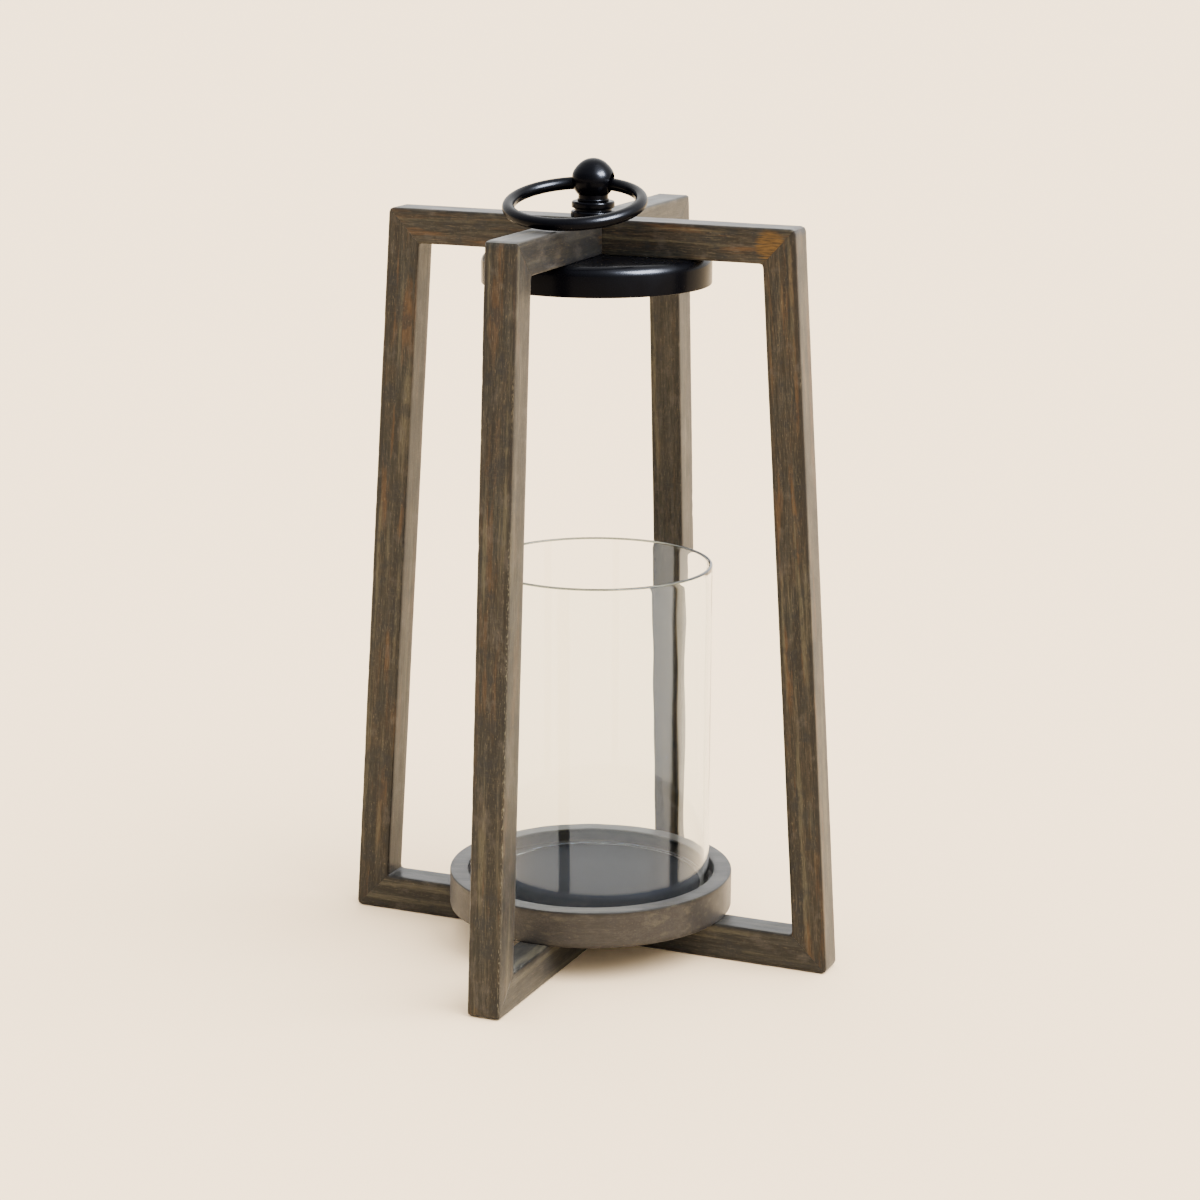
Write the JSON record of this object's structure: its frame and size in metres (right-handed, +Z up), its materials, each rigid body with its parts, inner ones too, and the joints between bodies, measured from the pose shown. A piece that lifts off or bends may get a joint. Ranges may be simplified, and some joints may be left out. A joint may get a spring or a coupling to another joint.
{
  "type": "hanging lantern",
  "caption": "Candle lantern with crossed, tapering wooden frames, a round tray with an open glass cylinder, a metal heat shield and a ball finial with a swinging ring.",
  "frame": {"origin": "on the floor under the crossing of the two frames, at the middle of the footprint", "axes": "+Z up, +X along frame A towards its right leg, -Y along frame B towards its front leg"},
  "size_m": [0.333, 0.333, 0.5062],
  "materials": {
    "stained_wood": "dark grey-brown stain rubbed back on the edges, satin",
    "beech_dowel": "plain",
    "black_enamel": "satin black enamel",
    "plate_enamel": "satin dark grey enamel",
    "zinc_steel": "zinc plated",
    "clear_glass": "clear, polished"
  },
  "bodies": {
    "lantern": {"frame_a_top_rail": "stained_wood", "frame_a_bottom_rail": "stained_wood", "frame_a_left_leg": "stained_wood", "frame_a_right_leg": "stained_wood", "frame_b_top_rail": "stained_wood", "frame_b_bottom_rail": "stained_wood", "frame_b_front_leg": "stained_wood", "frame_b_back_leg": "stained_wood", "tray": "stained_wood", "heat_shield": "black_enamel", "finial_base_flange": "black_enamel", "finial_collar": "black_enamel", "finial_ball": "black_enamel", "threaded_rod": "zinc_steel", "shield_washer": "zinc_steel", "shield_nut": "zinc_steel", "tray_screws": "zinc_steel", "lap_screw": "zinc_steel", "frame_a_mitre_dowels": "beech_dowel", "frame_b_mitre_dowels": "beech_dowel", "candle_plate": "plate_enamel"},
    "ring": {"carry_ring": "black_enamel"},
    "glass": {"glass_cylinder": "clear_glass"}
  },
  "joints": [
    {"name": "ring_swing", "type": "hinge", "parent": "lantern", "child": "ring", "pos_m": [0, 0, 0.4908], "axis": [-0.9928, -0.1201, 0], "range_deg": [0, 156.3]},
    {"name": "glass_lift", "type": "slide", "parent": "lantern", "child": "glass", "axis": [0, 0, 1], "range_m": [0, 0.178]}
  ]
}
